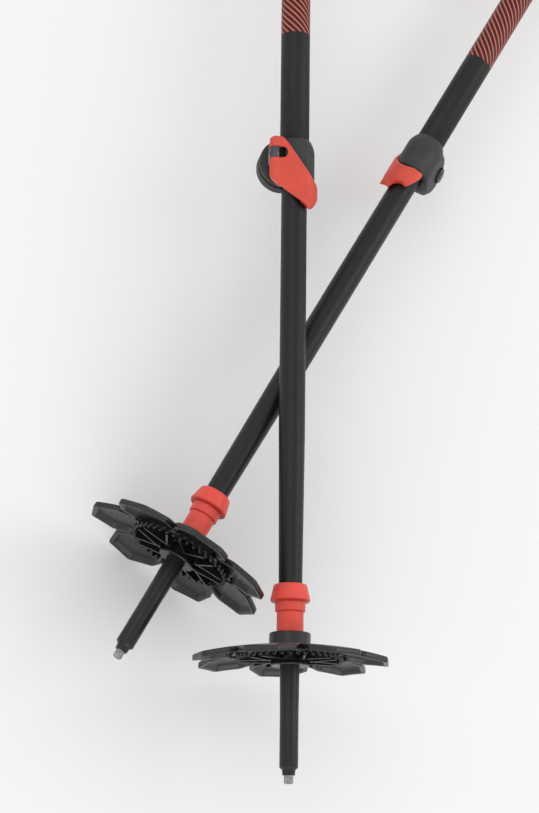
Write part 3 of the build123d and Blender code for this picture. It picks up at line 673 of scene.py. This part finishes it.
def make_grip(pole):
    """Rubber grip: finger waves in front, ribbed flanks, a wide head with the strap's slot."""
    rings = []
    steps, segments = 220, 88
    for step in range(steps + 1):
        station = GRIP_LOW + (GRIP_TOP - GRIP_LOW) * step / steps
        width = smooth_value(GRIP_HALF_WIDTH, station)
        depth = smooth_value(GRIP_HALF_DEPTH, station)
        shift = smooth_value(GRIP_SHIFT, station)
        end = min(station - GRIP_LOW, GRIP_TOP - station)
        shrink = 1.0 - 0.10 * max(0.0, 1.0 - end / 2.2) ** 2
        ring = []
        for index in range(segments):
            turn = 2 * math.pi * index / segments
            flank = abs(math.sin(turn)) ** 3 * (RIBS_LOW < station < RIBS_TOP)
            rib = RIB_DEPTH * flank * max(0.0, math.cos(2 * math.pi * station / RIB_PITCH)) ** 4
            wave = math.sin(2 * math.pi * (station - FINGERS_LOW) / FINGER_PITCH)
            finger = FINGER_DEPTH * max(0.0, -math.cos(turn)) ** 2 * wave
            finger *= FINGERS_LOW < station < FINGERS_TOP
            reach = (depth * shrink - rib + finger) * MM
            height = (width * shrink - rib) * MM
            x = shift * MM + reach * math.copysign(abs(math.cos(turn)) ** 0.92, math.cos(turn))
            y = height * math.copysign(abs(math.sin(turn)) ** 0.92, math.sin(turn))
            ring.append(pole.grip_point(x, y, station * MM))
        rings.append(ring)
    grip = new_piece(f"{pole.side}_rubber_grip", rings, "grip_rubber")
    carve_slot(pole, grip)
    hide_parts(f"{pole.side}_grip")
    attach(grip, f"{pole.side}_upper")


def carve_slot(pole, grip):
    """Cuts the strap's slot into the side of the head."""
    near, far, half_width, half_height, sides = 8.0, 40.0, 12.4, 5.2, 40
    corners = []
    for x in (near, far):
        ring = []
        for step in range(sides):
            turn = 2 * math.pi * step / sides
            y = half_width * math.copysign(abs(math.cos(turn)) ** 0.3, math.cos(turn))
            z = half_height * math.copysign(abs(math.sin(turn)) ** 0.3, math.sin(turn))
            ring.append(pole.grip_point(x * MM, y * MM, (SLOT_STATION + z) * MM))
        corners.append(ring)
    cutter = new_piece(f"{pole.side}_slot_cutter", corners, "grip_rubber")
    cut = grip.modifiers.new("slot", "BOOLEAN")
    cut.operation = "DIFFERENCE"
    cut.object = cutter
    cut.solver = "EXACT"
    graph = bpy.context.evaluated_depsgraph_get()
    carved = bpy.data.meshes.new_from_object(grip.evaluated_get(graph))
    grip.modifiers.clear()
    grip.data = carved
    bpy.data.objects.remove(cutter)


# ---- Wrist strap ---------------------------------------------------------------------------------
STRAP_HALF_WIDTH = 10.8
STRAP_HALF_THICK = 0.95
STRAP_SIDES = 20                    # points round the webbing
STRAP_LEAN = 0.062                  # drop per unit of reach
STRAP_CORNERS = [                   # middle of the webbing: reach from the slot, distance up the pole
    (3.4, 1.25), (56.0, 1.25), (92.0, -44.0), (94.0, -134.6), (69.6, -185.6),
    (42.0, -160.5), (35.0, -1.25), (3.4, -1.25),
]
STRAP_RADII = [33.0, 59.0, 49.0, 16.0, 29.0, 5.0]
ARC_STEP, STRAP_STEP = 1.5, 1.6     # between points, on the rounded corners and then all along
STRAP_TWIST = 0.05                  # the most the webbing leans, as a slope


def rounded_path(corners, radii, step):
    """Points along a polyline whose inner corners are rounded to given radii."""
    points = [Vector(corners[0])]
    for before, corner, after, radius in zip(corners, corners[1:], corners[2:], radii):
        corner = Vector(corner)
        back = (Vector(before) - corner).normalized()
        ahead = (Vector(after) - corner).normalized()
        opening = back.angle(ahead)
        tangent = radius / math.tan(opening / 2)
        centre = corner + (back + ahead).normalized() * radius / math.sin(opening / 2)
        start, end = corner + back * tangent - centre, corner + ahead * tangent - centre
        sweep = math.pi - opening
        turning = 1.0 if start.cross(end) > 0 else -1.0
        pieces = max(3, int(radius * sweep / step))
        for index in range(pieces + 1):
            turn = Matrix.Rotation(turning * sweep * index / pieces, 2)
            points.append(centre + turn @ start)
    points.append(Vector(corners[-1]))
    return points


def even_path(points, step):
    """The same path with evenly spaced points, and its length."""
    lengths = [0.0]
    for before, after in zip(points, points[1:]):
        lengths.append(lengths[-1] + (after - before).length)
    count = int(lengths[-1] / step)
    evened, segment = [], 0
    for index in range(count + 1):
        place = lengths[-1] * index / count
        while segment < len(points) - 2 and lengths[segment + 1] < place:
            segment += 1
        span = lengths[segment + 1] - lengths[segment]
        share = (place - lengths[segment]) / span if span else 0.0
        evened.append(points[segment].lerp(points[segment + 1], share))
    return evened, lengths[-1]


def strap_ring(pole, middle, aside, lean):
    """Rounded cross section of the webbing at a point of its path, as row points."""
    outward = Vector((pole.strap_side.x, pole.strap_side.y, -STRAP_LEAN))
    along = Vector((pole.axis.x, pole.axis.y, 0.0))
    upright = outward.cross(along).normalized()
    if upright.z < 0:
        upright = -upright
    outward.normalize()
    along = (along - outward * along.dot(outward)).normalized()
    origin = pole.tip + pole.axis * SLOT_STATION * MM
    ring = []
    for index in range(STRAP_SIDES):
        turn = 2 * math.pi * index / STRAP_SIDES
        thick = STRAP_HALF_THICK * math.copysign(abs(math.cos(turn)) ** 0.7, math.cos(turn))
        wide = STRAP_HALF_WIDTH * math.copysign(abs(math.sin(turn)) ** 0.25, math.sin(turn))
        place = middle + aside * (thick + lean * wide)
        ring.append(origin + (outward * place.x + along * place.y + upright * wide) * MM)
    return ring


def make_strap(pole):
    """Webbing loop that stands on its edge, with a slight lean that comes and goes along it."""
    path, length = even_path(rounded_path(STRAP_CORNERS, STRAP_RADII, ARC_STEP), STRAP_STEP)
    rings = []
    for index, middle in enumerate(path):
        before, after = path[max(0, index - 1)], path[min(len(path) - 1, index + 1)]
        forward = (after - before).normalized()
        aside = Vector((-forward.y, forward.x))
        share = index / (len(path) - 1)
        lean = STRAP_TWIST * math.sin(2 * math.pi * share) * math.sin(math.pi * share) ** 2
        rings.append(strap_ring(pole, middle, aside, lean))
    strap = new_piece(f"{pole.side}_strap_webbing", rings, "webbing")
    layer = strap.data.uv_layers.new(name="weave")
    count = len(rings[0])
    for loop in strap.data.loops:
        row, index = divmod(loop.vertex_index, count)
        turn = 2 * math.pi * index / count
        layer.data[loop.index].uv = (0.5 + 0.5 * math.sin(turn), row / (len(rings) - 1) * length * MM)
    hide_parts(f"{pole.side}_wrist_strap")
    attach(strap, f"{pole.side}_upper")


for pole in POLES.values():
    make_basket(pole)
    make_upper_tube(pole)
    make_foam(pole)
    make_grip(pole)
    make_strap(pole)


# ---- Stage, light and camera ---------------------------------------------------------------------
FLOOR_SIZE = 14.0
CAMERA_PLACE = Vector((-0.5996, -0.5137, 1.2410))
CAMERA_LOOK = Vector((0.32964, 0.18604, -0.92559))
CAMERA_UP = Vector((-0.09239, 0.98204, 0.16448))
FOCAL_IN_HEIGHTS = 2400 / 813       # focal length as a share of the picture's height
SENSOR = 36.0


def make_floor():
    """Pale, nearly even floor just under the poles."""
    mesh = bpy.data.meshes.new("floor")
    shape = bmesh.new()
    bmesh.ops.create_grid(shape, x_segments=8, y_segments=8, size=FLOOR_SIZE / 2)
    shape.to_mesh(mesh)
    shape.free()
    floor = bpy.data.objects.new("floor", mesh)
    floor.location.z = -0.0002
    bpy.context.collection.objects.link(floor)
    shader = Shader("floor_paper", (0.80, 0.80, 0.80), 0.9, Specular_IOR_Level=0.1)
    tone = shader.spread(shader.noise(3.0, 3.0), 0.0, 1.0)
    shader.color(shader.mix(tone, (0.795, 0.795, 0.795), (0.805, 0.805, 0.805)))
    mesh.materials.append(shader.material)


def area_light(name, place, target, size, power):
    """White rectangular light at a place, turned to its target."""
    data = bpy.data.lights.new(name, "AREA")
    data.shape = "RECTANGLE"
    data.size, data.size_y = size
    data.energy = power
    light = bpy.data.objects.new(name, data)
    light.location = place
    light.rotation_euler = (Vector(target) - Vector(place)).to_track_quat("-Z", "Y").to_euler()
    bpy.context.collection.objects.link(light)


def make_lights():
    """Even studio light: a white world and three soft lights."""
    world = bpy.data.worlds.new("studio")
    world.use_nodes = True
    background = world.node_tree.nodes["Background"]
    background.inputs["Color"].default_value = (1.0, 1.0, 1.0, 1.0)
    background.inputs["Strength"].default_value = 0.98
    bpy.context.scene.world = world
    area_light("key", (2.4, 0.4, 2.6), (-0.15, -0.2, 0.0), (1.6, 2.0), 17.0)
    area_light("front", (-0.5, -2.3, 0.9), (-0.15, -0.4, 0.0), (1.6, 0.8), 9.0)
    area_light("fill", (-1.6, 0.6, 2.2), (-0.15, -0.2, 0.0), (1.5, 1.5), 6.0)


def make_camera():
    """Camera at the photograph's viewing angle."""
    data = bpy.data.cameras.new("camera")
    data.sensor_width = SENSOR
    data.lens = SENSOR * FOCAL_IN_HEIGHTS
    data.clip_end = 60.0
    camera = bpy.data.objects.new("camera", data)
    right = CAMERA_LOOK.cross(CAMERA_UP).normalized()
    up = right.cross(CAMERA_LOOK).normalized()
    turn = Matrix((right, up, -CAMERA_LOOK.normalized())).transposed().to_4x4()
    camera.matrix_world = Matrix.Translation(CAMERA_PLACE) @ turn
    bpy.context.collection.objects.link(camera)
    bpy.context.scene.camera = camera


make_floor()
make_lights()
make_camera()
bpy.context.scene.view_settings.view_transform = "Standard"
